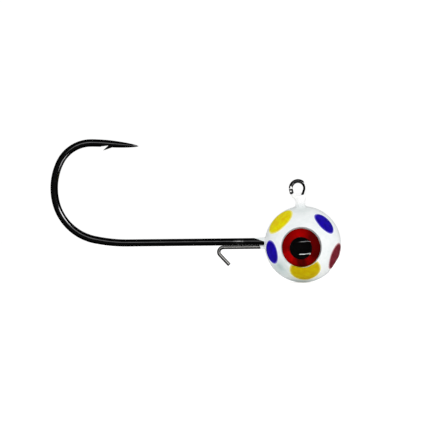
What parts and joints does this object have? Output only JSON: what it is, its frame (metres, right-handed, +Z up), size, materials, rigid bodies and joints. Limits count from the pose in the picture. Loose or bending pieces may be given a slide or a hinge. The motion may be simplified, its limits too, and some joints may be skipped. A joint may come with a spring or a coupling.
{
  "type": "jig head",
  "caption": "Ball jig head for fishing: a painted round weight cast on a bent hook, with a line eye on top, a wire bait keeper behind it and a domed eye on each side.",
  "frame": {"origin": "centre of the line eye, the ring above the head that the line is tied to", "axes": "+X along the hook's shank from its bend to the nose of the head, +Y along the line eye's hole, which is square to the hook's plane, +Z up towards the side the hook's point rides on"},
  "size_m": [0.0459, 0.013, 0.023],
  "materials": {
    "black_nickel": "black nickel plating, semi-bright",
    "stainless_wire": "drawn stainless wire, semi-bright",
    "lead": "as-cast lead alloy, dull",
    "white_paint": "white powder coat with a slight pearl, glossy",
    "adhesive": "foam pad, matt",
    "iris_foil": "printed metallic red foil",
    "pupil_print": "black print on foil",
    "lens_resin": "clear domed resin, polished",
    "yellow_paint": "stamped paint dot, glossy",
    "blue_paint": "stamped paint dot, glossy",
    "red_paint": "stamped paint dot, glossy"
  },
  "bodies": {
    "root": {"hook": "black_nickel", "keeper_wire": "stainless_wire", "lead_head": "lead", "base_coat": "white_paint", "right_eye_adhesive": "adhesive", "right_eye_iris": "iris_foil", "right_eye_pupil": "pupil_print", "right_eye_lens": "lens_resin", "left_eye_adhesive": "adhesive", "left_eye_iris": "iris_foil", "left_eye_pupil": "pupil_print", "left_eye_lens": "lens_resin", "right_yellow_dot_rear_top": "yellow_paint", "right_blue_dot_front_top": "blue_paint", "right_red_dot_front_low": "red_paint", "right_yellow_dot_belly": "yellow_paint", "right_blue_dot_rear_low": "blue_paint", "left_yellow_dot_rear_top": "yellow_paint", "left_blue_dot_front_top": "blue_paint", "left_red_dot_front_low": "red_paint", "left_yellow_dot_belly": "yellow_paint", "left_blue_dot_rear_low": "blue_paint"}
  },
  "joints": []
}
